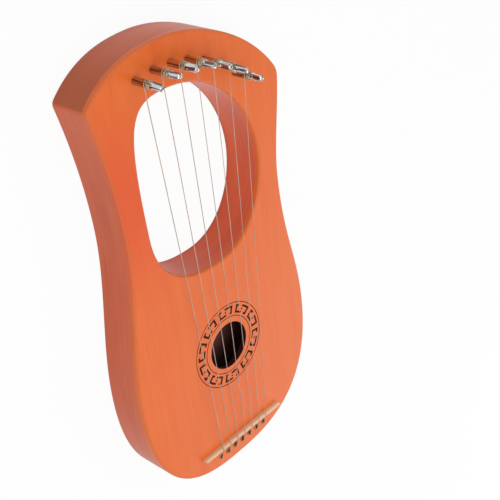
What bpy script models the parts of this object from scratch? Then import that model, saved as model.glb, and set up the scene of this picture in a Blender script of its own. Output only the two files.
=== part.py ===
"""Seven-string lyre harp: a shallow hollow box with an opening through it, pins, bridge and strings.

Units are metres. The harp lies on its flat back: +Z points out of the soundboard, +Y towards the
arch, +X to the right seen from the front. The origin is under the middle of the harp, on its back.
Heights along the harp (names ending in _Y) are counted from the lowest point of the body, and drops
(names ending in _DROP) are counted down from the crown of the arch. An inset is how far a place lies
inside the widest half-width.
"""
import math

import bmesh
import bpy
from mathutils import Vector
from mathutils.geometry import interpolate_bezier

# Body
LENGTH = 0.350
DEPTH = 0.0326
SOUNDBOARD_THICKNESS = 0.004
BACK_THICKNESS = 0.003
RIM_THICKNESS = 0.004
LINING_THICKNESS = 0.0035
EDGE_ROUND = 0.0018
BACK_EDGE_ROUND = 0.0010
GLUE_GAP = 0.0003

# Outline. The head is lopsided: its right shoulder is the lower one, and its crown lies to the left.
STRING_LINE_X = 0.0017
BOUT_HALF_WIDTH = 0.0877
RIGHT_BOUT_Y = 0.0948
LEFT_BOUT_Y = 0.0955
RIGHT_WAIST_INSET = 0.0133
LEFT_WAIST_INSET = 0.0156
RIGHT_WAIST_Y = 0.2138
LEFT_WAIST_Y = 0.2322
RIGHT_SHOULDER_INSET = 0.0029
LEFT_SHOULDER_INSET = 0.0048
RIGHT_SHOULDER_DROP = 0.0579
LEFT_SHOULDER_DROP = 0.0245
RIGHT_SHOULDER_CUT = 0.0042
LEFT_SHOULDER_CUT = 0.0038
CROWN_X = -0.0182

# Fullness of the curves: how far each keeps its direction at an end, as a share of its own run
BOTTOM_PULL = 0.286
RIGHT_BOUT_LOWER_PULL = 0.971
LEFT_BOUT_LOWER_PULL = 1.040
BOUT_UPPER_PULL = 0.365
RIGHT_WAIST_LOWER_PULL = 0.464
LEFT_WAIST_LOWER_PULL = 0.343
WAIST_UPPER_PULL = 0.331
SHOULDER_PULL = 0.320
RIGHT_SHOULDER_FLARE = 0.135
LEFT_SHOULDER_FLARE = 0.611
RIGHT_ARCH_ACROSS = 0.196
RIGHT_ARCH_UP = 0.591
LEFT_ARCH_ACROSS = 0.325
LEFT_ARCH_UP = 0.905
RIGHT_CROWN_PULL = 0.355
LEFT_CROWN_PULL = 0.304

# Opening through the upper half, before it is turned by its tilt
OPENING_BOTTOM_X = 0.0041
OPENING_BOTTOM_Y = 0.1762
OPENING_TOP_X = -0.0224
OPENING_TOP_DROP = 0.0321
OPENING_RIGHT_INSET = 0.0322
OPENING_RIGHT_DROP = 0.1111
OPENING_LEFT_INSET = 0.0343
OPENING_LEFT_DROP = 0.1242
OPENING_TILT = math.radians(2.15)
OPENING_PIVOT_DROP = 0.100
OPENING_BOTTOM_RIGHT_PULL = 0.600
OPENING_BOTTOM_LEFT_PULL = 0.671
OPENING_RIGHT_LOWER_PULL = 0.525
OPENING_LEFT_LOWER_PULL = 0.626
OPENING_RIGHT_UPPER_PULL = 0.461
OPENING_LEFT_UPPER_PULL = 0.852
OPENING_TOP_RIGHT_PULL = 0.640
OPENING_TOP_LEFT_PULL = 0.815

# Sound hole
SOUND_HOLE_Y = 0.1037
SOUND_HOLE_RADIUS = 0.0185

# Strings, and the row of eyelets that they start from
STRING_COUNT = 7
EYELET_ROW_Y = 0.0107
EYELET_PITCH = 0.00826
THICKEST_STRING = 0.0006
THINNEST_STRING = 0.0004
STRING_RISE_AT_PIN = 0.0113
STRING_WRAP = math.radians(200)

# Pins: they stand at even steps along a bow from the first to the last, pulled towards a third place
FIRST_PIN_X = -0.0427
FIRST_PIN_DROP = 0.0188
PIN_BOW_X = 0.0034
PIN_BOW_DROP = 0.0101
LAST_PIN_X = 0.0423
LAST_PIN_DROP = 0.0445
PIN_RADIUS = 0.0025
PIN_PROJECTION = 0.0244
PIN_SEATED_LENGTH = 0.0150
PIN_HEAD_LENGTH = 0.0067
PIN_HEAD_HALF_WIDTH = 0.0019
PIN_CLEARANCE = 0.0003
WINDING_TURNS = 4
WINDING_PITCH = 0.0011
WINDING_DIAMETER = 0.0006

# Bridge
BRIDGE_Y = 0.0190
BRIDGE_LENGTH = 0.0855
BRIDGE_WIDTH = 0.0030
BRIDGE_HEIGHT = 0.0036
BRIDGE_SIDE_HEIGHT = 0.0026
BRIDGE_TILT = math.radians(-1.2)

# Eyelets and the ball ends behind them
EYELET_BORE_RADIUS = 0.0014
EYELET_TUBE_RADIUS = 0.0018
EYELET_FLANGE_RADIUS = 0.0026
EYELET_FLANGE_THICKNESS = 0.0005
EYELET_LENGTH = 0.0042
BALL_RADIUS = 0.0018
BALL_LENGTH = 0.0030

# Blocks and braces inside the box, placed from what they carry
PIN_BLOCK_PAST_PINS = 0.0175
PIN_BLOCK_BELOW_PINS = 0.0085
TAIL_BLOCK_HALF_WIDTH = 0.037
TAIL_BLOCK_TOP_Y = 0.028
TAIL_BLOCK_THICKNESS = 0.014
TAIL_HOLE_RADIUS = 0.0020
SHOULDER_BLOCK_REACH = 0.015
SHOULDER_TO_PIN_BLOCK = 0.0005
UPPER_BRACE_BELOW_OPENING = 0.019
LOWER_BRACE_BELOW_HOLE = 0.038
BACK_BRACE_ABOVE_HOLE = 0.008
BRACE_WIDTH = 0.006
BRACE_HEIGHT = 0.008
BRACE_END_HEIGHT = 0.004
BRACE_TAPER_LENGTH = 0.020

# Heights of the layers, from the back
BACK_TOP = BACK_THICKNESS
SOUNDBOARD_BOTTOM = DEPTH - SOUNDBOARD_THICKNESS
CAVITY_LOW = BACK_TOP + GLUE_GAP
CAVITY_HIGH = SOUNDBOARD_BOTTOM - GLUE_GAP

CURVE_STEPS = 11
ROUND_STEPS = 3


def clear_scene():
    for thing in list(bpy.data.objects):
        bpy.data.objects.remove(thing, do_unlink=True)


def make_material(name, colour, roughness, metallic=0.0):
    material = bpy.data.materials.new(name)
    material.use_nodes = True
    shader = material.node_tree.nodes["Principled BSDF"]
    shader.inputs["Base Color"].default_value = (*colour, 1.0)
    shader.inputs["Roughness"].default_value = roughness
    shader.inputs["Metallic"].default_value = metallic
    return material


def add_object(name, bm, material, origin=(0.0, 0.0, 0.0)):
    """Finish a mesh whose points are in world space, with the object's origin where asked."""
    bmesh.ops.recalc_face_normals(bm, faces=bm.faces[:])
    bmesh.ops.translate(bm, verts=bm.verts[:], vec=-Vector(origin))
    mesh = bpy.data.meshes.new(name)
    bm.to_mesh(mesh)
    bm.free()
    mesh.materials.append(material)
    mesh.shade_smooth()
    mesh.set_sharp_from_angle(angle=math.radians(35))
    thing = bpy.data.objects.new(name, mesh)
    thing.location = origin
    bpy.context.scene.collection.objects.link(thing)
    return thing


# Flat outlines are lists of (x, y), with y counted from the lowest point of the body.
def curve(start, leaving, arriving, end, steps):
    """Points from start to end. leaving and arriving are shares of the run across and of the run up."""
    run = Vector(end) - Vector(start)
    first = Vector(start) + Vector((leaving[0] * run.x, leaving[1] * run.y))
    last = Vector(end) - Vector((arriving[0] * run.x, arriving[1] * run.y))
    points = interpolate_bezier(Vector(start), first, last, Vector(end), steps + 1)
    return [(p.x, p.y) for p in points]


def body_half(right):
    """One half of the body: its side from the bottom to the shoulder, and its arch up to the crown."""
    sign = 1 if right else -1
    bout_y = RIGHT_BOUT_Y if right else LEFT_BOUT_Y
    waist_inset = RIGHT_WAIST_INSET if right else LEFT_WAIST_INSET
    waist_y = RIGHT_WAIST_Y if right else LEFT_WAIST_Y
    shoulder_inset = RIGHT_SHOULDER_INSET if right else LEFT_SHOULDER_INSET
    shoulder_drop = RIGHT_SHOULDER_DROP if right else LEFT_SHOULDER_DROP
    bout_pull = RIGHT_BOUT_LOWER_PULL if right else LEFT_BOUT_LOWER_PULL
    waist_pull = RIGHT_WAIST_LOWER_PULL if right else LEFT_WAIST_LOWER_PULL
    flare = RIGHT_SHOULDER_FLARE if right else LEFT_SHOULDER_FLARE
    arch_start = (RIGHT_ARCH_ACROSS, RIGHT_ARCH_UP) if right else (LEFT_ARCH_ACROSS, LEFT_ARCH_UP)
    crown_pull = RIGHT_CROWN_PULL if right else LEFT_CROWN_PULL
    bout = (sign * BOUT_HALF_WIDTH, bout_y)
    waist = (sign * (BOUT_HALF_WIDTH - waist_inset), waist_y)
    shoulder = (sign * (BOUT_HALF_WIDTH - shoulder_inset), LENGTH - shoulder_drop)
    lower = curve((STRING_LINE_X, 0.0), (BOTTOM_PULL, 0.0), (0.0, bout_pull), bout, CURVE_STEPS + 4)
    middle = curve(bout, (0.0, BOUT_UPPER_PULL), (0.0, waist_pull), waist, CURVE_STEPS)
    upper = curve(waist, (0.0, WAIST_UPPER_PULL), (flare, SHOULDER_PULL), shoulder, CURVE_STEPS - 2)
    arch = curve(shoulder, arch_start, (crown_pull, 0.0), (CROWN_X, LENGTH), CURVE_STEPS + 3)
    return lower + middle[1:] + upper[1:], arch


def round_corner(before, corner, after, cut):
    """Join two runs of points at a corner with a short curve that starts a cut away from it."""
    def far_enough(point):
        return (Vector(point) - Vector(corner)).length > cut
    before = [p for p in before if far_enough(p)]
    after = [p for p in after if far_enough(p)]
    start = Vector(corner) + (Vector(before[-1]) - Vector(corner)).normalized() * cut
    end = Vector(corner) + (Vector(after[0]) - Vector(corner)).normalized() * cut
    leaving = start.lerp(Vector(corner), 0.6)
    arriving = end.lerp(Vector(corner), 0.6)
    points = interpolate_bezier(start, leaving, arriving, end, 7)
    return before + [(p.x, p.y) for p in points], after, len(before) + 3


def body_outline():
    """Closed outline, anticlockwise from the bottom, and the places of its two shoulders."""
    right, right_arch = body_half(True)
    left, left_arch = body_half(False)
    arch = right_arch[1:] + left_arch[-2:0:-1]
    left.reverse()
    first, arch, right_shoulder = round_corner(right[:-1], right[-1], arch, RIGHT_SHOULDER_CUT)
    upper, left_run, left_shoulder = round_corner(first + arch, left[0], left[1:-1], LEFT_SHOULDER_CUT)
    return upper + left_run, right_shoulder, left_shoulder


def opening_outline():
    """Closed outline of the through opening, anticlockwise from its lowest point, turned by its tilt."""
    bottom = (OPENING_BOTTOM_X, OPENING_BOTTOM_Y)
    top = (OPENING_TOP_X, LENGTH - OPENING_TOP_DROP)
    right = (BOUT_HALF_WIDTH - OPENING_RIGHT_INSET, LENGTH - OPENING_RIGHT_DROP)
    left = (OPENING_LEFT_INSET - BOUT_HALF_WIDTH, LENGTH - OPENING_LEFT_DROP)
    quarters = [(bottom, (OPENING_BOTTOM_RIGHT_PULL, 0.0), (0.0, OPENING_RIGHT_LOWER_PULL), right),
                (right, (0.0, OPENING_RIGHT_UPPER_PULL), (OPENING_TOP_RIGHT_PULL, 0.0), top),
                (top, (OPENING_TOP_LEFT_PULL, 0.0), (0.0, OPENING_LEFT_UPPER_PULL), left),
                (left, (0.0, OPENING_LEFT_LOWER_PULL), (OPENING_BOTTOM_LEFT_PULL, 0.0), bottom)]
    loop = []
    for quarter in quarters:
        loop += curve(*quarter, CURVE_STEPS + 1)[:-1]
    turned_loop = []
    c = math.cos(OPENING_TILT)
    s = math.sin(OPENING_TILT)
    pivot_y = LENGTH - OPENING_PIVOT_DROP
    for x, y in loop:
        across = x - STRING_LINE_X
        up = y - pivot_y
        turned_loop.append((STRING_LINE_X + across * c - up * s, pivot_y + across * s + up * c))
    return turned_loop


def inset(loop, distance):
    """Move a closed anticlockwise outline inwards by a distance, outwards when it is negative."""
    moved = []
    count = len(loop)
    for k in range(count):
        before = Vector(loop[k - 1])
        here = Vector(loop[k])
        after = Vector(loop[(k + 1) % count])
        first = (here - before).normalized()
        second = (after - here).normalized()
        inward = Vector((-first.y - second.y, first.x + second.x)).normalized()
        stretch = max(0.5, inward.dot(Vector((-first.y, first.x))))
        moved.append(tuple(here + inward * distance / stretch))
    return moved


def clip(loop, place, inward):
    """Keep the part of a closed outline that lies past a straight line, on the side inward points to."""
    kept = []
    for k in range(len(loop)):
        here = Vector(loop[k - 1])
        there = Vector(loop[k])
        near = (here - Vector(place)).dot(Vector(inward))
        far = (there - Vector(place)).dot(Vector(inward))
        if near * far < 0:
            kept.append(tuple(here.lerp(there, near / (near - far))))
        if far >= 0:
            kept.append(tuple(there))
    return kept


def start_near(loop, place):
    """The same closed outline, begun at its point nearest to a place."""
    first = min(range(len(loop)), key=lambda k: (Vector(loop[k]) - Vector(place)).length)
    return loop[first:] + loop[:first]


def corner_run(loop, place, reach):
    """The stretch of an outline about a corner, to the same straight distance on both sides of it."""
    corner = Vector(loop[place])
    halves = []
    for step in (-1, 1):
        half = []
        k = place + step
        while (Vector(loop[k]) - corner).length < reach:
            half.append(loop[k])
            k += step
        inner = Vector(loop[k - step])
        outer = Vector(loop[k])
        near = (inner - corner).length
        far = (outer - corner).length
        half.append(tuple(inner.lerp(outer, (reach - near) / (far - near))))
        halves.append(half)
    return halves[0][::-1] + [loop[place]] + halves[1]


def circle(centre_x, centre_y, radius, steps):
    return [(centre_x + radius * math.cos(2 * math.pi * k / steps),
             centre_y + radius * math.sin(2 * math.pi * k / steps)) for k in range(steps)]


# Meshes are made of stacked loops of points joined by walls and closed by flat faces.
def add_loop(bm, loop, z):
    return [bm.verts.new((x, y - LENGTH / 2, z)) for x, y in loop]


def add_wall(bm, lower, upper):
    count = len(lower)
    for k in range(count):
        n = (k + 1) % count
        bm.faces.new((lower[k], lower[n], upper[n], upper[k]))


def add_flat_face(bm, loops):
    """Fill the area between an outer loop and the loops inside it."""
    edges = []
    for verts in loops:
        for k in range(len(verts)):
            pair = (verts[k], verts[(k + 1) % len(verts)])
            edges.append(bm.edges.get(pair) or bm.edges.new(pair))
    bmesh.ops.triangle_fill(bm, use_beauty=True, use_dissolve=False, edges=edges, normal=(0.0, 0.0, 1.0))


def rounded_sides(bm, loop, low, high, low_round, high_round, sign):
    """Stack one outline from low to high, with its edges rounded. sign is +1 for an outer edge."""
    rings = []
    if low_round > 0:
        for k in range(ROUND_STEPS, 0, -1):
            angle = math.pi / 2 * k / ROUND_STEPS
            ring = inset(loop, sign * low_round * (1 - math.cos(angle)))
            rings.append(add_loop(bm, ring, low + low_round * (1 - math.sin(angle))))
    rings.append(add_loop(bm, loop, low + low_round))
    rings.append(add_loop(bm, loop, high - high_round))
    if high_round > 0:
        for k in range(1, ROUND_STEPS + 1):
            angle = math.pi / 2 * k / ROUND_STEPS
            ring = inset(loop, sign * high_round * (1 - math.cos(angle)))
            rings.append(add_loop(bm, ring, high - high_round * (1 - math.sin(angle))))
    for k in range(len(rings) - 1):
        add_wall(bm, rings[k], rings[k + 1])
    return rings[0], rings[-1]


def slab(low, high, outline, rounded_holes=(), plain_holes=(), pockets=(), low_round=0.0, high_round=0.0):
    """A flat board with rounded outer edges, holes right through it and blind pockets from above."""
    bm = bmesh.new()
    bottom_loops = []
    top_loops = []
    bottom, top = rounded_sides(bm, outline, low, high, low_round, high_round, 1)
    bottom_loops.append(bottom)
    top_loops.append(top)
    for hole in rounded_holes:
        bottom, top = rounded_sides(bm, hole, low, high, low_round, high_round, -1)
        bottom_loops.append(bottom)
        top_loops.append(top)
    for hole in plain_holes:
        bottom = add_loop(bm, hole, low)
        top = add_loop(bm, hole, high)
        add_wall(bm, bottom, top)
        bottom_loops.append(bottom)
        top_loops.append(top)
    for hole, floor in pockets:
        bottom = add_loop(bm, hole, floor)
        top = add_loop(bm, hole, high)
        add_wall(bm, bottom, top)
        bm.faces.new(bottom)
        top_loops.append(top)
    add_flat_face(bm, bottom_loops)
    add_flat_face(bm, top_loops)
    return bm


def strip(outer, inner, first, last, low, high):
    """A bent strip between two closed outlines, from one place to another, less half a gap each end."""
    count = len(outer)
    places = [k % count for k in range(first, last + 1)]
    outer_run = [Vector(outer[k]) for k in places]
    inner_run = [Vector(inner[k]) for k in places]
    start_shift = (outer_run[1] - outer_run[0]).normalized() * GLUE_GAP / 2
    end_shift = (outer_run[-2] - outer_run[-1]).normalized() * GLUE_GAP / 2
    outer_run[0] += start_shift
    inner_run[0] += start_shift
    outer_run[-1] += end_shift
    inner_run[-1] += end_shift
    bm = bmesh.new()
    rings = []
    for run, z in ((outer_run, low), (outer_run, high), (inner_run, high), (inner_run, low)):
        rings.append(add_loop(bm, [tuple(p) for p in run], z))
    for k in range(4):
        here = rings[k]
        there = rings[(k + 1) % 4]
        for n in range(len(here) - 1):
            bm.faces.new((here[n], here[n + 1], there[n + 1], there[n]))
    bm.faces.new([ring[0] for ring in rings])
    bm.faces.new([ring[-1] for ring in rings])
    return bm


def turned(profile, centre, steps):
    """Turn a closed profile of (radius, height) about an upright line. A radius of 0 closes the shape."""
    bm = bmesh.new()
    rings = []
    for radius, z in profile:
        if radius == 0:
            rings.append([bm.verts.new((centre[0], centre[1], z))])
            continue
        ring = []
        for k in range(steps):
            angle = 2 * math.pi * k / steps
            ring.append(bm.verts.new((centre[0] + radius * math.cos(angle),
                                      centre[1] + radius * math.sin(angle), z)))
        rings.append(ring)
    solid = len(rings[0]) == 1
    for k in range(len(rings) - (1 if solid else 0)):
        here = rings[k]
        there = rings[(k + 1) % len(rings)]
        for n in range(steps):
            m = (n + 1) % steps
            corners = [here[n % len(here)], here[m % len(here)],
                       there[m % len(there)], there[n % len(there)]]
            bm.faces.new(list(dict.fromkeys(corners)))
    return bm


# Places shared by the strings, pins, eyelets and the holes cut for them
def eyelet_x(number):
    return STRING_LINE_X + (number - (STRING_COUNT - 1) / 2) * EYELET_PITCH


def pin_place(number):
    share = number / (STRING_COUNT - 1)
    first = Vector((FIRST_PIN_X, LENGTH - FIRST_PIN_DROP))
    bow = Vector((PIN_BOW_X, LENGTH - PIN_BOW_DROP))
    last = Vector((LAST_PIN_X, LENGTH - LAST_PIN_DROP))
    place = first.lerp(bow, share).lerp(bow.lerp(last, share), share)
    return place.x, place.y


def string_radius(number):
    share = number / (STRING_COUNT - 1)
    return (THICKEST_STRING + (THINNEST_STRING - THICKEST_STRING) * share) / 2


def edges_at(loop, y_low, y_high):
    """How far an outline leaves room to the left and to the right, anywhere between two heights."""
    left = []
    right = []
    for height in (y_low, (y_low + y_high) / 2, y_high):
        for k in range(len(loop)):
            a = loop[k - 1]
            b = loop[k]
            if (a[1] - height) * (b[1] - height) < 0:
                x = a[0] + (b[0] - a[0]) * (height - a[1]) / (b[1] - a[1])
                (right if x > 0 else left).append(x)
    return max(left), min(right)


def build_box(stained, outline, right_shoulder, left_shoulder):
    opening = opening_outline()
    eyelet_holes = [circle(eyelet_x(n), EYELET_ROW_Y, EYELET_TUBE_RADIUS + GLUE_GAP, 12)
                    for n in range(STRING_COUNT)]
    pin_holes = [circle(*pin_place(n), PIN_RADIUS + PIN_CLEARANCE, 14) for n in range(STRING_COUNT)]
    sound_hole = circle(STRING_LINE_X, SOUND_HOLE_Y, SOUND_HOLE_RADIUS, 48)
    board = slab(SOUNDBOARD_BOTTOM, DEPTH, outline, rounded_holes=[opening],
                 plain_holes=[sound_hole] + eyelet_holes + pin_holes, high_round=EDGE_ROUND)
    add_object("soundboard", board, stained)
    back = slab(0.0, BACK_TOP, outline, rounded_holes=[opening], low_round=BACK_EDGE_ROUND)
    add_object("back_plate", back, stained)
    inner = inset(outline, RIM_THICKNESS)
    for name, first, last in (("rim_right", 0, right_shoulder), ("rim_arch", right_shoulder, left_shoulder),
                              ("rim_left", left_shoulder, len(outline))):
        add_object(name, strip(outline, inner, first, last, CAVITY_LOW, CAVITY_HIGH), stained)
    wall = slab(CAVITY_LOW, CAVITY_HIGH, inset(opening, -LINING_THICKNESS), plain_holes=[opening])
    add_object("opening_lining", wall, stained)
    return opening


def build_blocks(raw, outline, opening, shoulders):
    inside = inset(outline, RIM_THICKNESS + GLUE_GAP)
    around = inset(opening, -(LINING_THICKNESS + GLUE_GAP))
    foot = LENGTH - LAST_PIN_DROP - PIN_BLOCK_BELOW_PINS
    left = FIRST_PIN_X - PIN_BLOCK_PAST_PINS
    right = LAST_PIN_X + PIN_BLOCK_PAST_PINS
    head = clip(inside, (0.0, foot), (0.0, 1.0))
    head = clip(head, (left, 0.0), (1.0, 0.0))
    head = clip(head, (right, 0.0), (-1.0, 0.0))
    crown = clip(around, (0.0, foot), (0.0, 1.0))
    block = start_near(head, (right, foot)) + start_near(crown, (right, foot))[::-1]
    pin_pockets = [(circle(*pin_place(n), PIN_RADIUS + PIN_CLEARANCE, 14),
                    SOUNDBOARD_BOTTOM - PIN_SEATED_LENGTH) for n in range(STRING_COUNT)]
    add_object("pin_block", slab(CAVITY_LOW, CAVITY_HIGH, block, pockets=pin_pockets), raw)
    tail = clip(inside, (0.0, TAIL_BLOCK_TOP_Y), (0.0, -1.0))
    tail = clip(tail, (STRING_LINE_X - TAIL_BLOCK_HALF_WIDTH, 0.0), (1.0, 0.0))
    tail = clip(tail, (STRING_LINE_X + TAIL_BLOCK_HALF_WIDTH, 0.0), (-1.0, 0.0))
    tail_holes = [circle(eyelet_x(n), EYELET_ROW_Y, TAIL_HOLE_RADIUS, 12) for n in range(STRING_COUNT)]
    tail_low = CAVITY_HIGH - TAIL_BLOCK_THICKNESS
    add_object("tail_block", slab(tail_low, CAVITY_HIGH, tail, plain_holes=tail_holes), raw)
    beside = (("shoulder_block_right", shoulders[0], right + SHOULDER_TO_PIN_BLOCK, 1.0),
              ("shoulder_block_left", shoulders[1], left - SHOULDER_TO_PIN_BLOCK, -1.0))
    for name, place, limit, outward in beside:
        run = clip(corner_run(inside, place, SHOULDER_BLOCK_REACH), (limit, 0.0), (outward, 0.0))
        add_object(name, slab(CAVITY_LOW, CAVITY_HIGH, run), raw)
    return inside


def build_brace(name, y, high, low, inside, raw):
    """A bar across the inside whose ends thin down. high is its glued side, low its free side."""
    near = y - BRACE_WIDTH / 2
    far = y + BRACE_WIDTH / 2
    left, right = edges_at(inside, near, far)
    thin = high + (low - high) * BRACE_END_HEIGHT / BRACE_HEIGHT
    profile = [(left, high), (right, high), (right, thin), (right - BRACE_TAPER_LENGTH, low),
               (left + BRACE_TAPER_LENGTH, low), (left, thin)]
    bm = bmesh.new()
    sides = []
    for edge_y in (near, far):
        sides.append([bm.verts.new((x, edge_y - LENGTH / 2, z)) for x, z in profile])
    add_wall(bm, sides[0], sides[1])
    bm.faces.new(sides[0])
    bm.faces.new(sides[1])
    add_object(name, bm, raw)


def ridge_y(x):
    """Where the ridge of the bridge runs, at a place x across the harp."""
    return BRIDGE_Y - LENGTH / 2 + (x - STRING_LINE_X) * math.tan(BRIDGE_TILT)


def build_bridge(pale):
    """A bar with a ridged top, which the strings cross. It is glued on at a slight tilt."""
    half = BRIDGE_WIDTH / 2
    bevel = 0.0005
    lean = Vector((math.cos(BRIDGE_TILT), math.sin(BRIDGE_TILT)))
    low = DEPTH + GLUE_GAP
    side = DEPTH + BRIDGE_SIDE_HEIGHT
    top = DEPTH + BRIDGE_HEIGHT
    profile = [(-half, low), (half, low), (half, side), (bevel, top), (-bevel, top), (-half, side)]
    bm = bmesh.new()
    rings = []
    for x, shrink in ((-0.5, bevel), (-0.5, 0.0), (0.5, 0.0), (0.5, bevel)):
        step = math.copysign(bevel, x) if shrink == 0.0 else 0.0
        ring = []
        for y, z in profile:
            narrower = y * (1 - shrink / half)
            lower = z if z == low else z - shrink
            along = x * BRIDGE_LENGTH - step
            ring.append(bm.verts.new((STRING_LINE_X + along * lean.x - narrower * lean.y,
                                      BRIDGE_Y - LENGTH / 2 + along * lean.y + narrower * lean.x, lower)))
        rings.append(ring)
    for k in range(3):
        add_wall(bm, rings[k], rings[k + 1])
    bm.faces.new(rings[0])
    bm.faces.new(rings[3])
    add_object("bridge", bm, pale)


def pin_sections():
    """Heights, half-widths and squareness of a tuning pin, from its tip in the wood to its head."""
    tip = SOUNDBOARD_BOTTOM - PIN_SEATED_LENGTH + PIN_CLEARANCE
    head_end = DEPTH + PIN_PROJECTION
    head_start = head_end - PIN_HEAD_LENGTH
    taper = 0.0012
    crown = 0.0006
    return [(tip, PIN_RADIUS * 0.75, 2.0),
            (tip + taper, PIN_RADIUS, 2.0),
            (head_start - taper, PIN_RADIUS, 2.0),
            (head_start, PIN_HEAD_HALF_WIDTH, 4.0),
            (head_end - 2 * crown, PIN_HEAD_HALF_WIDTH * 0.97, 4.0),
            (head_end - crown / 2, PIN_HEAD_HALF_WIDTH * 0.85, 3.2),
            (head_end, PIN_HEAD_HALF_WIDTH * 0.55, 2.4)]


def build_pin(number, chrome):
    x, y = pin_place(number)
    steps = 16
    bm = bmesh.new()
    rings = []
    for z, half, power in pin_sections():
        ring = []
        for k in range(steps):
            angle = 2 * math.pi * k / steps
            c = math.cos(angle)
            s = math.sin(angle)
            reach = half / (abs(c) ** power + abs(s) ** power) ** (1 / power)
            ring.append(bm.verts.new((x + reach * c, y - LENGTH / 2 + reach * s, z)))
        rings.append(ring)
    for k in range(len(rings) - 1):
        add_wall(bm, rings[k], rings[k + 1])
    bm.faces.new(rings[0])
    bm.faces.new(rings[-1])
    return add_object(f"tuning_pin_{number + 1}", bm, chrome, origin=(x, y - LENGTH / 2, DEPTH))


def tube(name, points, radius, material, sides, parent=None):
    """A closed tube of one wire along points, with caps."""
    wire = bpy.data.curves.new(name, "CURVE")
    wire.dimensions = "3D"
    wire.bevel_depth = radius
    wire.bevel_resolution = sides
    wire.use_fill_caps = True
    spline = wire.splines.new("POLY")
    spline.points.add(len(points) - 1)
    base = parent.location if parent else Vector((0.0, 0.0, 0.0))
    for k, point in enumerate(points):
        spline.points[k].co = (*(Vector(point) - base), 1.0)
    wire.materials.append(material)
    thing = bpy.data.objects.new(name, wire)
    bpy.context.scene.collection.objects.link(thing)
    if parent:
        thing.parent = parent
    return thing


def string_height_at_pin():
    return DEPTH + STRING_RISE_AT_PIN


def build_winding(number, brass, pin):
    """The turns of wire on a pin, above the stretch of string that reaches it."""
    x, y = pin_place(number)
    wire = WINDING_DIAMETER / 2
    radius = PIN_RADIUS + GLUE_GAP + wire
    start = string_height_at_pin() + string_radius(number) + GLUE_GAP + wire
    per_turn = 12
    points = []
    for k in range(WINDING_TURNS * per_turn + 1):
        angle = math.pi + 2 * math.pi * k / per_turn
        z = start + WINDING_PITCH * k / per_turn
        points.append((x + radius * math.cos(angle), y - LENGTH / 2 + radius * math.sin(angle), z))
    tube(f"winding_{number + 1}", points, wire, brass, 1, parent=pin)
    return WINDING_PITCH - 2 * wire


def string_route(number):
    """From the ball end up through the eyelet, over the bridge and round the left of the pin."""
    radius = string_radius(number)
    row_y = EYELET_ROW_Y - LENGTH / 2
    start_x = eyelet_x(number)
    crossing_y = ridge_y(start_x)
    ridge_z = DEPTH + BRIDGE_HEIGHT + GLUE_GAP + radius
    lip = EYELET_FLANGE_THICKNESS + GLUE_GAP
    ball_top = CAVITY_HIGH - TAIL_BLOCK_THICKNESS - GLUE_GAP
    route = [(start_x, row_y, ball_top + GLUE_GAP),
             (start_x, row_y, SOUNDBOARD_BOTTOM),
             (start_x, row_y, DEPTH + lip * 0.4),
             (start_x, row_y + 0.0001, DEPTH + lip + radius),
             (start_x, row_y + 0.0006, DEPTH + lip + radius * 2.2)]
    pin_x, pin_y = pin_place(number)
    centre = Vector((pin_x, pin_y - LENGTH / 2))
    wrap = PIN_RADIUS + GLUE_GAP + radius
    ridge = Vector((start_x, crossing_y))
    to_ridge = ridge - centre
    swing = math.acos(wrap / to_ridge.length)
    touch = math.atan2(to_ridge.y, to_ridge.x) - swing
    touch_point = centre + wrap * Vector((math.cos(touch), math.sin(touch)))
    away = (touch_point - ridge).normalized()
    rise = (string_height_at_pin() - ridge_z) / (touch_point - ridge).length
    shoulder = 0.0010
    slope = (ridge_z - route[-1][2]) / (crossing_y - route[-1][1])
    route.append((start_x, crossing_y - shoulder, ridge_z - slope * shoulder * 0.6))
    route.append((start_x, crossing_y, ridge_z))
    for share in (0.02, 0.25, 0.5, 0.75, 0.98):
        spot = ridge + away * (touch_point - ridge).length * share
        route.append((spot.x, spot.y, ridge_z + rise * (touch_point - ridge).length * share))
    turns = 14
    for k in range(turns + 1):
        angle = touch - STRING_WRAP * k / turns
        route.append((centre.x + wrap * math.cos(angle), centre.y + wrap * math.sin(angle),
                      string_height_at_pin()))
    return route


def build_eyelet(number, brass):
    flange = DEPTH + GLUE_GAP
    top = flange + EYELET_FLANGE_THICKNESS
    low = top - EYELET_LENGTH
    profile = [(EYELET_BORE_RADIUS, low), (EYELET_TUBE_RADIUS, low), (EYELET_TUBE_RADIUS, flange),
               (EYELET_FLANGE_RADIUS, flange), (EYELET_FLANGE_RADIUS * 0.9, top - 0.0001),
               (EYELET_BORE_RADIUS + 0.0002, top), (EYELET_BORE_RADIUS, top - 0.0002)]
    centre = (eyelet_x(number), EYELET_ROW_Y - LENGTH / 2)
    add_object(f"eyelet_{number + 1}", turned(profile, centre, 14), brass)


def build_ball_end(number, brass):
    top = CAVITY_HIGH - TAIL_BLOCK_THICKNESS - GLUE_GAP
    low = top - BALL_LENGTH
    bevel = 0.0005
    profile = [(0, low), (BALL_RADIUS - bevel, low), (BALL_RADIUS, low + bevel), (BALL_RADIUS, top - bevel),
               (BALL_RADIUS - bevel, top), (0, top)]
    centre = (eyelet_x(number), EYELET_ROW_Y - LENGTH / 2)
    bm = turned(profile, centre, 12)
    add_object(f"ball_end_{number + 1}", bm, brass)


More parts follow.
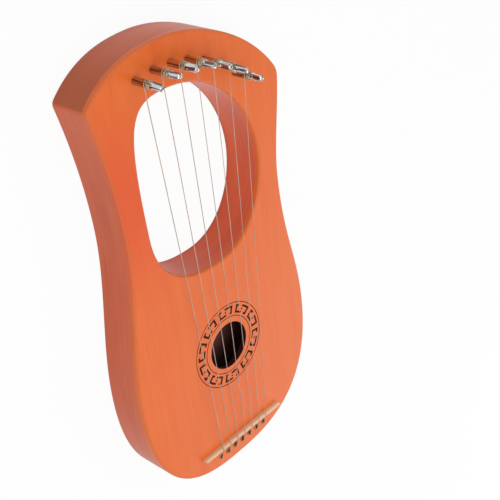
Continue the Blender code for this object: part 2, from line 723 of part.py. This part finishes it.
def main():
    clear_scene()
    stained = make_material("stained_wood", (0.80, 0.19, 0.065), 0.35)
    raw = make_material("raw_wood", (0.55, 0.38, 0.22), 0.6)
    pale = make_material("pale_wood", (0.82, 0.60, 0.38), 0.5)
    chrome = make_material("chrome", (0.80, 0.80, 0.82), 0.12, 1.0)
    brass = make_material("brass", (0.70, 0.50, 0.22), 0.3, 1.0)
    steel = make_material("string_steel", (0.60, 0.58, 0.55), 0.3, 1.0)
    outline, right_shoulder, left_shoulder = body_outline()
    opening = build_box(stained, outline, right_shoulder, left_shoulder)
    inside = build_blocks(raw, outline, opening, (right_shoulder, left_shoulder))
    upper_y = OPENING_BOTTOM_Y - UPPER_BRACE_BELOW_OPENING
    build_brace("brace_upper", upper_y, CAVITY_HIGH, CAVITY_HIGH - BRACE_HEIGHT, inside, raw)
    lower_y = SOUND_HOLE_Y - LOWER_BRACE_BELOW_HOLE
    build_brace("brace_lower", lower_y, CAVITY_HIGH, CAVITY_HIGH - BRACE_HEIGHT, inside, raw)
    back_y = SOUND_HOLE_Y + BACK_BRACE_ABOVE_HOLE
    build_brace("brace_back", back_y, CAVITY_LOW, CAVITY_LOW + BRACE_HEIGHT, inside, raw)
    build_bridge(pale)
    for number in range(STRING_COUNT):
        pin = build_pin(number, chrome)
        gap = build_winding(number, brass, pin)
        tube(f"string_{number + 1}", string_route(number), string_radius(number), steel, 2)
        build_eyelet(number, brass)
        build_ball_end(number, brass)
    print(f"least gap between the turns on a pin: {gap * 1000:.2f} mm")


main()
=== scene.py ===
import math

import bmesh
import bpy
from mathutils import Matrix, Vector
from mathutils.geometry import interpolate_bezier


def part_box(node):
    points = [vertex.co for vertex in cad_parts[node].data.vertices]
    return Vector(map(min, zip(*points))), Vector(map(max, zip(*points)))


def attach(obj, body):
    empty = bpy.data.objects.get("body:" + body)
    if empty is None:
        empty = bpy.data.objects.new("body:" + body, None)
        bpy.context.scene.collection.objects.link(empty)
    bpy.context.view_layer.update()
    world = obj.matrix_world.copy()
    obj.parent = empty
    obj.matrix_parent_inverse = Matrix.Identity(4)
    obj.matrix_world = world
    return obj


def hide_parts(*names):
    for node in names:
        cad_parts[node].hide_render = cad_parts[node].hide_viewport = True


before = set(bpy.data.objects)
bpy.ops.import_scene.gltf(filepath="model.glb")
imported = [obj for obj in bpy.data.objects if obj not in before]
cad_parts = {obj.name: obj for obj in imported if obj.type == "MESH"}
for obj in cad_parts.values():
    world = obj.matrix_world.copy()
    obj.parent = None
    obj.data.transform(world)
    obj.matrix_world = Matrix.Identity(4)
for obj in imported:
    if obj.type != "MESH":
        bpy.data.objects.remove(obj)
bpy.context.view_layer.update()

# Sizes of the harp, in metres. Heights ending in _y are counted from its lowest point.
length = 0.350
depth = 0.0326
bout_half = 0.0877
board = 0.004
back = 0.003
rim = 0.004
lining = 0.0035
front_round = 0.0018
back_round = 0.0011
line_x = 0.0017
hole_y = 0.1037
hole_radius = 0.0185
rosette_y = 0.1041
eyelet_row_y = 0.0107
eyelet_pitch = 0.00826
pin_radius = 0.0025
strings = 7


# Finishes
class Value:
    """What comes out of a node, so that sums with it can be written as sums."""

    def __init__(self, finish, socket):
        self.finish = finish
        self.socket = socket

    def math(self, operation, first, second, clamp=False):
        settings = {"operation": operation, "use_clamp": clamp}
        return self.finish.node("ShaderNodeMath", settings, {0: first, 1: second})

    def __add__(self, other):
        return self.math("ADD", self, other)

    def __radd__(self, other):
        return self.math("ADD", other, self)

    def __sub__(self, other):
        return self.math("SUBTRACT", self, other)

    def __rsub__(self, other):
        return self.math("SUBTRACT", other, self)

    def __mul__(self, other):
        return self.math("MULTIPLY", self, other)

    def __rmul__(self, other):
        return self.math("MULTIPLY", other, self)


class Finish:
    """A material or world, and the nodes it is made of."""

    def __init__(self, name, owner=None):
        self.owner = owner or bpy.data.materials.new(name)
        self.owner.use_nodes = True
        self.tree = self.owner.node_tree

    def node(self, kind, settings=None, inputs=None, output=0):
        made = self.tree.nodes.new(kind)
        for key, setting in (settings or {}).items():
            if key == "stops":
                ramp = made.color_ramp
                while len(ramp.elements) < len(setting):
                    ramp.elements.new(0.5)
                for element, (place, colour) in zip(ramp.elements, setting):
                    element.position = place
                    element.color = (*colour, 1.0)
            else:
                setattr(made, key, setting)
        self.feed(made, inputs or {})
        return Value(self, made.outputs[output])

    def feed(self, made, inputs):
        for key, source in inputs.items():
            if isinstance(source, Value):
                self.tree.links.new(source.socket, made.inputs[key])
            elif hasattr(source, "__len__") and made.inputs[key].type == "RGBA" and len(source) == 3:
                made.inputs[key].default_value = (*source, 1.0)
            else:
                made.inputs[key].default_value = source

    def place(self):
        return self.node("ShaderNodeTexCoord", output="Object")

    def stretched(self, place, x, y, z):
        return self.node("ShaderNodeVectorMath", {"operation": "MULTIPLY"}, {0: place, 1: (x, y, z)})

    def noise(self, place, detail=3.0, rough=0.5):
        inputs = {"Vector": place, "Scale": 1.0, "Detail": detail, "Roughness": rough}
        return self.node("ShaderNodeTexNoise", {}, inputs)

    def between(self, value, low, high, to_low=0.0, to_high=1.0):
        inputs = {"Value": value, "From Min": low, "From Max": high, "To Min": to_low, "To Max": to_high}
        return self.node("ShaderNodeMapRange", {"clamp": True}, inputs)

    def blend(self, share, first, second, way="MIX"):
        settings = {"data_type": "RGBA", "blend_type": way}
        return self.node("ShaderNodeMix", settings, {0: share, 6: first, 7: second}, output=2)

    def bump(self, height, distance, strength=1.0):
        inputs = {"Height": height, "Distance": distance, "Strength": strength}
        return self.node("ShaderNodeBump", {}, inputs)

    def shade(self, **inputs):
        names = {"colour": "Base Color", "roughness": "Roughness", "metallic": "Metallic",
                 "normal": "Normal", "specular": "Specular IOR Level"}
        shader = self.tree.nodes["Principled BSDF"]
        self.feed(shader, {names[key]: source for key, source in inputs.items()})
        return self.owner


def wood_finish(name, fine, broad, dark, light, pore, rough, gloss=0.5, edges=False, arch=False,
                relief=0.00002):
    """Wood whose grain runs where the two stretches are smallest. edges marks the front: its rounded arrises
    get a paler band, partly worn stain and partly a painted highlight, and the left arm is darker and
    redder, painted shade where it catches less sheen. arch is the darker, browner colour of painted shade on
    the side faces over the left of the head."""
    f = Finish(name)
    place = f.place()
    wander = f.noise(f.stretched(place, 18, 18, 18), 2.0)
    grain = f.noise(f.stretched(place, *fine), 3.0, 0.6)
    streak = f.noise(f.stretched(place, *broad), 2.0, 0.55)
    pores = f.between(f.noise(f.stretched(place, *[2.1 * s for s in fine]), 1.0), 0.64, 0.74)
    tone = f.between(0.30 * grain + 0.50 * streak + 0.30 * wander, 0.36, 0.74)
    colour = f.blend(tone, dark, light)
    colour = f.blend(pores * 0.20, colour, pore)
    if edges:
        # Painted shade: the front is darker and redder round the left arm, where it catches less sheen.
        inputs = {0: place, 1: left_arm}
        from_arm = f.node("ShaderNodeVectorMath", {"operation": "DISTANCE"}, inputs, output=1)
        colour = f.blend(f.between(from_arm, 0.015, 0.080, 0.75, 0.0), colour, painted_arm_shade)
        # The rounded front arrises get a paler band: partly worn stain, partly a painted highlight.
        height = f.node("ShaderNodeSeparateXYZ", {}, {0: place}, output="Z")
        rim_mark = f.between(height, depth - front_round * 1.1, depth - front_round * 0.75)
        face_mark = f.between(height, depth - front_round * 0.16, depth - front_round * 0.03)
        colour = f.blend((rim_mark - face_mark) * 0.5, colour, edges)
    if arch:
        up = f.node("ShaderNodeSeparateXYZ", {}, {0: place}, output="Y")
        across = f.node("ShaderNodeSeparateXYZ", {}, {0: place}, output="X")
        # Painted shade: the side faces over the left of the head are darker and browner, as less light falls
        # on them.
        arch_shade_band = f.between(up, 0.1500, 0.1508) * f.between(across, -0.072, -0.015, 0.72, 0.0)
        colour = f.blend(arch_shade_band, colour, arch)
    roughness = f.between(grain, 0.3, 0.7, rough + 0.05, rough - 0.04)
    normal = f.bump(grain * 0.6 - pores * 0.6, relief)
    return f.shade(colour=colour, roughness=roughness, normal=normal, specular=gloss)


def burnt_finish():
    """Wood darkened by burning, in the rosette."""
    f = Finish("burnt_wood")
    char = f.noise(f.stretched(f.place(), 900, 900, 900), 3.0)
    colour = f.blend(f.between(char, 0.35, 0.65), (0.022, 0.005, 0.003), (0.050, 0.011, 0.006))
    return f.shade(colour=colour, roughness=f.between(char, 0.3, 0.7, 0.62, 0.85), specular=0.12,
                   normal=f.bump(char, 0.00004))


def metal_finish(name, colour, dark_wear_and_reflection, rough, spread, relief, stretch=(500, 500, 500), marks=(0.40, 0.66)):
    """Metal with faint worn patches in a duller, darker tone, which lie at the values in marks.
    On the pins these patches are narrow dark streaks, painted reflections of dark surroundings.
    """
    f = Finish(name)
    wear_and_streaks = f.noise(f.stretched(f.place(), *stretch), 3.0)
    wear_and_reflection_mark = f.between(wear_and_streaks, *marks)
    blended = f.blend(wear_and_reflection_mark, colour, dark_wear_and_reflection)
    roughness = f.between(wear_and_streaks, 0.35, 0.7, rough, rough + spread)
    return f.shade(colour=blended, metallic=1.0, roughness=roughness, normal=f.bump(wear_and_streaks, relief))


stain_dark = (0.735, 0.120, 0.014)
stain_light = (0.785, 0.156, 0.022)
stain_pore = (0.36, 0.045, 0.010)
# Paler colour of the rounded front arrises: partly worn stain, partly a painted highlight.
edge_wear_and_highlight = (0.64, 0.185, 0.070)
# Painted shade colour for the front round the left arm.
painted_arm_shade = (0.72, 0.074, 0.012)
left_arm = (-0.066, 0.078, 0.0326)
front_wood = wood_finish("stained_front", (640, 16, 640), (95, 3.5, 95), stain_dark, stain_light, stain_pore,
                         0.40, gloss=0.3, edges=edge_wear_and_highlight)
# Painted shade: the sides and back have the front's stain in a darker, greyer copy, for the weaker light on
# them.
shaded_side_wood = wood_finish("stained_side_shaded", (22, 22, 700), (9, 9, 70), (0.54, 0.080, 0.019),
                        # arch: the darker, browner colour of the painted shade over the left of the head.
                        (0.70, 0.127, 0.037), stain_pore, 0.40, gloss=0.38, arch=(0.38, 0.074, 0.012))
# Painted light: the opening's wall has the same stain as the sides, in a lighter copy for the sheen it
# catches.
lit_wall_wood = wood_finish("stained_wall_lit", (22, 22, 700), (9, 9, 70), (0.62, 0.080, 0.017),
                        (0.78, 0.128, 0.033), stain_pore, 0.36, gloss=0.42)
# Painted shade: the faces inside the body get a dark colour for the dark of the hollow inside.
inside_shade_wood = wood_finish("unlit_inside", (500, 14, 500), (80, 5, 80), (0.14, 0.050, 0.040),
                         (0.27, 0.10, 0.075), (0.07, 0.028, 0.022), 0.8)
raw_wood = wood_finish("block_wood", (500, 40, 300), (70, 8, 50), (0.11, 0.055, 0.028), (0.18, 0.10, 0.05),
                       (0.05, 0.03, 0.015), 0.7)
bridge_wood = wood_finish("bridge_wood", (30, 700, 700), (6, 160, 160), (0.74, 0.50, 0.29),
                          (0.88, 0.66, 0.44), (0.36, 0.18, 0.08), 0.5, relief=0.00003)
burnt_wood = burnt_finish()
# Painted reflection: the crisp dark streaks along the pins stand in for reflections of dark surroundings.
pin_chrome = metal_finish("pin_chrome", (0.60, 0.60, 0.61), (0.13, 0.10, 0.09), 0.07, 0.08, 0.000003,
                          (800, 800, 30), (0.47, 0.56))
coil_brass = metal_finish("coil_brass", (0.56, 0.44, 0.27), (0.26, 0.18, 0.10), 0.24, 0.16, 0.000006)
eyelet_brass = metal_finish("eyelet_brass", (0.42, 0.22, 0.10), (0.18, 0.07, 0.03), 0.38, 0.20, 0.000006)
wire_steel = metal_finish("wire_steel", (0.44, 0.36, 0.30), (0.34, 0.27, 0.22), 0.50, 0.10, 0.000004,
                          (1500, 25, 1500))


# Outlines: lists of (x, y), anticlockwise, with y counted from the lowest point of the harp
def curve(start, leaving, arriving, end, steps):
    """Points from start to end. leaving and arriving are shares of the run across and of the run up."""
    run = Vector(end) - Vector(start)
    first = Vector(start) + Vector((leaving[0] * run.x, leaving[1] * run.y))
    last = Vector(end) - Vector((arriving[0] * run.x, arriving[1] * run.y))
    points = interpolate_bezier(Vector(start), first, last, Vector(end), steps + 1)
    return [(p.x, p.y) for p in points]


def body_half(places, pulls):
    """A side from the bottom to the shoulder and its arch to the crown. places: bout, waist, shoulder."""
    bout, waist, shoulder = places
    side = curve((line_x, 0.0), (0.286, 0.0), (0.0, pulls["bout"]), bout, 34)
    side += curve(bout, (0.0, 0.365), (0.0, pulls["waist"]), waist, 26)[1:]
    side += curve(waist, (0.0, 0.331), (pulls["flare"], 0.320), shoulder, 20)[1:]
    return side, curve(shoulder, pulls["arch"], (pulls["crown"], 0.0), (-0.0182, length), 40)


def eased_corner(before, corner, after, cut):
    corner = Vector(corner)
    before = [p for p in before if (Vector(p) - corner).length > cut]
    after = [p for p in after if (Vector(p) - corner).length > cut]
    start = corner + (Vector(before[-1]) - corner).normalized() * cut
    end = corner + (Vector(after[0]) - corner).normalized() * cut
    points = interpolate_bezier(start, start.lerp(corner, 0.6), end.lerp(corner, 0.6), end, 13)
    return before + [(p.x, p.y) for p in points], after


def body_outline():
    """The head is lopsided: its right shoulder is the lower one, and its crown lies to the left."""
    right, right_arch = body_half([(bout_half, 0.0948), (bout_half - 0.0133, 0.2138),
                                   (bout_half - 0.0029, length - 0.0579)],
                                  {"bout": 0.971, "waist": 0.464, "flare": 0.135, "arch": (0.196, 0.591),
                                   "crown": 0.355})
    left, left_arch = body_half([(-bout_half, 0.0955), (0.0156 - bout_half, 0.2322),
                                 (0.0048 - bout_half, length - 0.0245)],
                                {"bout": 1.040, "waist": 0.343, "flare": 0.611, "arch": (0.325, 0.905),
                                 "crown": 0.304})
    left.reverse()
    arch = right_arch[1:] + left_arch[-2:0:-1]
    first, arch = eased_corner(right[:-1], right[-1], arch, 0.0042)
    upper, left_run = eased_corner(first + arch, left[0], left[1:-1], 0.0028)
    return upper + left_run


def opening_outline():
    bottom = (0.0041, 0.1762)
    top = (-0.0224, length - 0.0321)
    right = (bout_half - 0.0322, 0.2389)
    left = (0.0343 - bout_half, 0.2258)
    loop = []
    for quarter in ((bottom, (0.600, 0.0), (0.0, 0.525), right), (right, (0.0, 0.461), (0.640, 0.0), top),
                    (top, (0.815, 0.0), (0.0, 0.852), left), (left, (0.0, 0.626), (0.671, 0.0), bottom)):
        loop += curve(*quarter, 26)[:-1]
    tilt = Matrix.Rotation(math.radians(2.15), 2)
    pivot = Vector((line_x, 0.250))
    return [tuple(pivot + tilt @ (Vector(p) - pivot)) for p in loop]


def inset(loop, distance):
    moved = []
    for k in range(len(loop)):
        here = Vector(loop[k])
        first = (here - Vector(loop[k - 1])).normalized()
        second = (Vector(loop[(k + 1) % len(loop)]) - here).normalized()
        inward = Vector((-first.y - second.y, first.x + second.x)).normalized()
        moved.append(tuple(here + inward * distance / max(0.5, inward.dot(Vector((-first.y, first.x))))))
    return moved


def circle(x, y, radius, steps):
    return [(x + radius * math.cos(2 * math.pi * k / steps), y + radius * math.sin(2 * math.pi * k / steps))
            for k in range(steps)]


# Meshes
def loop_at(bm, loop, z):
    return [bm.verts.new((x, y - length / 2, z)) for x, y in loop]


def walls(bm, rings, finish=0):
    for here, there in zip(rings, rings[1:]):
        for k in range(len(here)):
            n = (k + 1) % len(here)
            face = bm.faces.new((here[k], here[n], there[n], there[k]))
            face.material_index = finish


def flat(bm, loops, finish=0):
    edges = []
    for verts in loops:
        for k in range(len(verts)):
            pair = (verts[k], verts[(k + 1) % len(verts)])
            edges.append(bm.edges.get(pair) or bm.edges.new(pair))
    up = (0.0, 0.0, 1.0)
    made = bmesh.ops.triangle_fill(bm, use_beauty=True, use_dissolve=False, edges=edges, normal=up)
    for face in made["geom"]:
        if isinstance(face, bmesh.types.BMFace):
            face.material_index = finish


def rounded(bm, loop, low, high, low_round, high_round, sign, steps=7, finish=0):
    rings = []
    for k in range(steps if low_round else 0, 0, -1):
        angle = math.pi / 2 * k / steps
        rings.append(loop_at(bm, inset(loop, sign * low_round * (1 - math.cos(angle))),
                             low + low_round * (1 - math.sin(angle))))
    rings.append(loop_at(bm, loop, low + low_round))
    rings.append(loop_at(bm, loop, high - high_round))
    for k in range(1, steps + 1 if high_round else 1):
        angle = math.pi / 2 * k / steps
        rings.append(loop_at(bm, inset(loop, sign * high_round * (1 - math.cos(angle))),
                             high - high_round * (1 - math.sin(angle))))
    walls(bm, rings, finish)
    return rings[0], rings[-1]


def piece(name, bm, finishes, body, nodes=(), crease=35):
    bmesh.ops.recalc_face_normals(bm, faces=bm.faces[:])
    mesh = bpy.data.meshes.new(name)
    bm.to_mesh(mesh)
    bm.free()
    mesh.shade_smooth()
    mesh.set_sharp_from_angle(angle=math.radians(crease))
    thing = bpy.data.objects.new(name, mesh)
    bpy.context.scene.collection.objects.link(thing)
    return settle(thing, finishes, body, nodes)


def settle(thing, finishes, body, nodes=()):
    for finish in finishes:
        thing.data.materials.append(finish)
    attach(thing, body)
    if nodes:
        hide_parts(*nodes)
    return thing


def even_shading(thing):
    """Keeps large flat faces flat where they meet a rounded edge."""
    modifier = thing.modifiers.new("even_shading", "WEIGHTED_NORMAL")
    modifier.keep_sharp = True
    modifier.weight = 100


# Rosette: ten pairs of facing hooks with a dot between them, in two thin rings
rosette_radius = 0.0284
rosette_cut = 0.0002
hook_long = [(-7.1, -3.2), (0.5, -3.2), (0.5, -1.55), (-5.35, -1.55), (-5.35, 2.0), (-3.7, 2.0),
             (-3.7, 3.65), (-7.1, 3.65)]
dot = [(-0.65, -0.45), (0.65, -0.45), (0.65, 0.85), (-0.65, 0.85)]


def bent(shape, turn):
    """A flat shape in millimetres, wrapped round the sound hole. Long edges get points on the way."""
    points = []
    for k in range(len(shape)):
        start = Vector(shape[k])
        end = Vector(shape[(k + 1) % len(shape)])
        parts = max(1, round(abs(end.x - start.x) / 1.1))
        points += [start + (end - start) * n / parts for n in range(parts)]
    loop = []
    for p in points:
        angle = turn - p.x * 0.001 / rosette_radius
        radius = rosette_radius + p.y * 0.001
        loop.append((line_x + radius * math.cos(angle), rosette_y + radius * math.sin(angle)))
    return loop[::-1]


def rosette_shapes():
    shapes = []
    for k in range(10):
        turn = math.radians(87.7 + 36 * k)
        shapes.append(bent(hook_long, turn))
        shapes.append(bent([(-x, -y + 0.4) for x, y in hook_long], turn))
        shapes.append(bent(dot, turn))
    return shapes


def ring_groove(bm, radius, width=0.0006, cut=0.0003):
    rings = [loop_at(bm, circle(line_x, rosette_y, radius + side * width, 96), depth - down)
             for side, down in ((0.5, 0.0), (0.25, cut), (-0.25, cut), (-0.5, 0.0))]
    walls(bm, rings, 1)
    return rings[0], rings[-1]


def eyelet_x(number):
    return line_x + (number - (strings + 1) / 2) * eyelet_pitch


def pins():
    for number in range(1, strings + 1):
        low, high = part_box(f"tuning_pin_{number}")
        yield number, Vector(((low[0] + high[0]) / 2, (low[1] + high[1]) / 2)), low[2]


def make_front(outline, opening):
    bm = bmesh.new()
    under = depth - board
    low_outer, top_outer = rounded(bm, outline, under, depth, 0, front_round, 1)
    low_opening, top_opening = rounded(bm, opening, under, depth, 0, front_round, -1)
    hole = circle(line_x, hole_y, hole_radius, 96)
    low_hole, top_hole = rounded(bm, hole, under, depth, 0, 0.0004, -1, 3, 1)
    lows = [low_outer, low_opening, low_hole]
    tops = [top_outer, top_opening]
    small = [circle(eyelet_x(n), eyelet_row_y, 0.0020, 20) for n in range(1, strings + 1)]
    small += [circle(at.x, at.y + length / 2, pin_radius + 0.00006, 32) for number, at, tip in pins()]
    for loop in small:
        rings = [loop_at(bm, loop, under), loop_at(bm, loop, depth)]
        walls(bm, rings)
        lows.append(rings[0])
        tops.append(rings[1])
    outer_ring, outer_inside = ring_groove(bm, 0.0340)
    inner_ring, inner_inside = ring_groove(bm, 0.0233)
    marked = [outer_inside, inner_ring]
    for shape in rosette_shapes():
        rings = [loop_at(bm, shape, depth), loop_at(bm, inset(shape, -0.00006), depth - rosette_cut)]
        walls(bm, rings, 1)
        flat(bm, [rings[1]], 1)
        marked.append(rings[0])
    flat(bm, tops + [outer_ring])
    flat(bm, marked)
    walls(bm, [inner_inside, top_hole])
    flat(bm, lows, 2)
    front = piece("front", bm, [front_wood, burnt_wood, inside_shade_wood], "harp", ["soundboard"])
    even_shading(front)


def make_band(name, outer, inner, shown, finish, nodes):
    """A wall between two outlines, from the back to the front. shown tells which of its sides is stained."""
    bm = bmesh.new()
    high = depth - board
    places = ((outer, back), (outer, high), (inner, high), (inner, back))
    rings = [loop_at(bm, loop, z) for loop, z in places]
    for k in range(4):
        walls(bm, [rings[k], rings[(k + 1) % 4]], 0 if k == shown else 1)
    piece(name, bm, [finish, inside_shade_wood], "harp", nodes)


def make_back(outline, opening):
    bm = bmesh.new()
    low_outer, top_outer = rounded(bm, outline, 0.0, back, back_round, 0, 1)
    low_opening, top_opening = rounded(bm, opening, 0.0, back, back_round, 0, -1)
    flat(bm, [low_outer, low_opening])
    flat(bm, [top_outer, top_opening], 1)
    plate = piece("back", bm, [shaded_side_wood, inside_shade_wood], "harp", ["back_plate"])
    even_shading(plate)


# Bridge: a thin ridged bar whose crest has a notch under each string
bridge_y = 0.0190
bridge_length = 0.0855
bridge_tilt = math.radians(-1.2)


def make_bridge():
    bm = bmesh.new()
    half = 0.0015
    crest = 0.0041
    notch_floor = 0.0039
    ends = 0.0006
    edge = 0.0003
    side = 0.0026
    crossings = [eyelet_x(number) - line_x for number in range(1, strings + 1)]
    places = [-0.5 * bridge_length + ends * (1 - math.cos(math.pi / 2 * k / 4)) for k in range(5)]
    places += [-p for p in places]
    places += [x + step for x in crossings for step in (-0.0006, -0.0003, 0.0, 0.0003, 0.0006)]
    rings = []
    for along in sorted(places):
        nearest = min(abs(along - x) for x in crossings)
        dip = crest - notch_floor if nearest < 0.0004 else 0.0
        inner = max(0.0, abs(along) - (bridge_length / 2 - ends)) / ends
        pull = ends * (1 - math.sqrt(max(0.0, 1 - inner * inner)))
        top = crest - dip - pull
        near_top = min(top, crest - 0.0002 - pull)
        profile = [(-half + pull, 0.0), (-half + pull, side - pull),
                   (-half + edge + pull, side + edge - pull), (-0.0005, near_top),
                   (-0.0002, top), (0.0002, top), (0.0005, near_top),
                   (half - edge - pull, side + edge - pull), (half - pull, side - pull), (half - pull, 0.0)]
        ring = []
        for across, z in profile:
            x = line_x + along * math.cos(bridge_tilt) - across * math.sin(bridge_tilt)
            y = bridge_y - length / 2 + along * math.sin(bridge_tilt) + across * math.cos(bridge_tilt)
            ring.append(bm.verts.new((x, y, depth + z)))
        rings.append(ring)
    walls(bm, rings)
    bm.faces.new(rings[0])
    bm.faces.new(rings[-1])
    piece("bridge_bar", bm, [bridge_wood], "harp", ["bridge"], crease=28)


def squared_ring(bm, centre, half, power, z, twist, steps=48):
    """One ring round a pin: power 2 is round, and higher powers are squarer."""
    ring = []
    for k in range(steps):
        angle = 2 * math.pi * k / steps
        c = math.cos(angle)
        s = math.sin(angle)
        reach = half / (abs(c) ** power + abs(s) ** power) ** (1 / power)
        ring.append(bm.verts.new((centre.x + reach * math.cos(angle + twist),
                                  centre.y + reach * math.sin(angle + twist), z)))
    return ring


def make_pin(number, at, tip):
    """A tuning pin: a round shank, a squared head with eased corners and a crowned end."""
    twist = math.radians((number * 37) % 90)
    top = depth + 0.0244
    head = top - 0.0067
    sections = [(tip, 0.0018, 2.0), (tip + 0.0011, pin_radius, 2.0), (head - 0.0008, pin_radius, 2.0),
                (head - 0.0006, pin_radius * 0.985, 2.0), (head - 0.0002, 0.0021, 3.4), (head, 0.00197, 6.0),
                (top - 0.0010, 0.00194, 6.0), (top - 0.0004, 0.0018, 5.0), (top - 0.0001, 0.0015, 3.4),
                (top, 0.0012, 2.4)]
    bm = bmesh.new()
    rings = [squared_ring(bm, at, half, power, z, twist) for z, half, power in sections]
    walls(bm, rings)
    bm.faces.new(rings[0])
    bm.faces.new(rings[-1])
    body = f"pin_{number}"
    piece(f"pin_{number}_metal", bm, [pin_chrome], body, [f"tuning_pin_{number}"], crease=40)


def make_coil(number, at):
    """The turns of wire on a pin."""
    wire = 0.00026
    reach = pin_radius + wire * 0.9
    start = depth + 0.0119
    turns = 4
    points = []
    for k in range(turns * 20 + 1):
        angle = math.pi + 2 * math.pi * k / 20
        points.append((at.x + reach * math.cos(angle), at.y + reach * math.sin(angle),
                       start + 0.00085 * k / 20))
    data = bpy.data.curves.new(f"coil_{number}", "CURVE")
    data.dimensions = "3D"
    data.bevel_depth = wire
    data.bevel_resolution = 3
    data.use_fill_caps = True
    spline = data.splines.new("POLY")
    spline.points.add(len(points) - 1)
    for k, point in enumerate(points):
        spline.points[k].co = (*point, 1.0)
    coil = bpy.data.objects.new(f"coil_{number}", data)
    bpy.context.scene.collection.objects.link(coil)
    settle(coil, [coil_brass], f"pin_{number}", [f"winding_{number}"])


def make_eyelet(number):
    """A brass eyelet with a rolled lip."""
    at = Vector((eyelet_x(number), eyelet_row_y - length / 2))
    lip = 0.00058
    profile = [(0.00144, depth - 0.0037), (0.00185, depth - 0.0037), (0.00185, depth)]
    for k in range(9):
        angle = math.pi * k / 8
        profile.append((0.00202 + lip * math.cos(angle), depth + lip * math.sin(angle)))
    bm = bmesh.new()
    rings = [squared_ring(bm, at, r, 2.0, z, 0.0, 32) for r, z in profile]
    walls(bm, rings + [rings[0]])
    piece(f"eyelet_{number}_ring", bm, [eyelet_brass], "harp", [f"eyelet_{number}"])


def dress_solids():
    """Finishes for the solids that stay as they are."""
    kept = {"string_": wire_steel, "ball_end_": coil_brass, "pin_block": raw_wood, "tail_block": raw_wood,
            "shoulder_block": raw_wood, "brace_": raw_wood}
    for name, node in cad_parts.items():
        for start, finish in kept.items():
            if name.startswith(start):
                node.data.materials.clear()
                node.data.materials.append(finish)


# Stage
def make_floor():
    f = Finish("floor_white")
    seen = f.node("ShaderNodeLightPath", output="Is Camera Ray")
    mirrored = f.node("ShaderNodeLightPath", output="Is Glossy Ray")
    through = f.node("ShaderNodeLightPath", output="Is Transmission Ray")
    f.shade(colour=(0.86, 0.86, 0.86), roughness=0.9)
    shader = f.tree.nodes["Principled BSDF"].outputs[0]
    glow = f.node("ShaderNodeEmission", {}, {"Color": (1.0, 1.0, 1.0), "Strength": 1.0})
    share = f.between(seen + mirrored + through, 0.0, 1.0, 0.0, 0.93)
    mixed = f.node("ShaderNodeMixShader", {}, {0: share, 1: Value(f, shader), 2: glow})
    f.feed(f.tree.nodes["Material Output"], {"Surface": mixed})
    bm = bmesh.new()
    bmesh.ops.create_grid(bm, x_segments=1, y_segments=1, size=4.0)
    mesh = bpy.data.meshes.new("floor")
    bm.to_mesh(mesh)
    bm.free()
    mesh.materials.append(f.owner)
    floor = bpy.data.objects.new("floor", mesh)
    floor.location = (0.0, 0.0, -0.0006)
    bpy.context.scene.collection.objects.link(floor)


def make_world():
    world = bpy.data.worlds.new("studio")
    bpy.context.scene.world = world
    f = Finish("studio", world)
    seen = f.node("ShaderNodeLightPath", output="Is Camera Ray")
    mirrored = f.node("ShaderNodeLightPath", output="Is Glossy Ray")
    through = f.node("ShaderNodeLightPath", output="Is Transmission Ray")
    strength = f.between(seen + mirrored + through, 0.0, 1.0, 0.55, 1.0)
    f.feed(f.tree.nodes["Background"], {"Color": (1.0, 1.0, 1.0), "Strength": strength})


def lamp(name, towards, distance, size, strength, aim=(0.0, 0.0, 0.02)):
    """A soft lamp in the given direction. strength 1 lights a facing surface to its own colour."""
    data = bpy.data.lights.new(name, "AREA")
    data.shape = "DISK"
    data.size = size
    data.energy = strength * math.pi ** 2 * distance ** 2
    light = bpy.data.objects.new(name, data)
    direction = Vector(towards).normalized()
    light.location = Vector(aim) + direction * distance
    light.rotation_euler = direction.to_track_quat("Z", "Y").to_euler()
    bpy.context.scene.collection.objects.link(light)


def make_camera():
    data = bpy.data.cameras.new("camera")
    data.sensor_width = 36.0
    data.lens = 72.0
    data.clip_start = 0.01
    data.shift_x = -0.0009
    data.shift_y = 0.0009
    camera = bpy.data.objects.new("camera", data)
    right = Vector((0.66112, -0.10575, 0.74279))
    up = Vector((0.45351, 0.84501, -0.28334))
    behind = Vector((-0.5977, 0.52418, 0.60662))
    turn = Matrix((right, up, behind)).transposed()
    camera.matrix_world = Matrix.Translation((-0.40111, 0.37721, 0.47650)) @ turn.to_4x4()
    bpy.context.scene.collection.objects.link(camera)
    bpy.context.scene.camera = camera


bpy.context.scene.view_settings.view_transform = "Standard"
make_camera()
make_world()
make_floor()
lamp("key", (-0.33, 0.03, 1.0), 0.95, 0.80, 0.46)
lamp("low", (0.70, -0.62, 0.42), 0.95, 0.85, 0.23)
outline = body_outline()
opening = opening_outline()
make_front(outline, opening)
make_band("sides", outline, inset(outline, rim), 0, shaded_side_wood, ["rim_left", "rim_right", "rim_arch"])
make_band("opening_wall", inset(opening, -lining), opening, 2, lit_wall_wood, ["opening_lining"])
make_back(outline, opening)
make_bridge()
for number, at, tip in pins():
    make_pin(number, at, tip)
    make_coil(number, at)
    make_eyelet(number)
dress_solids()
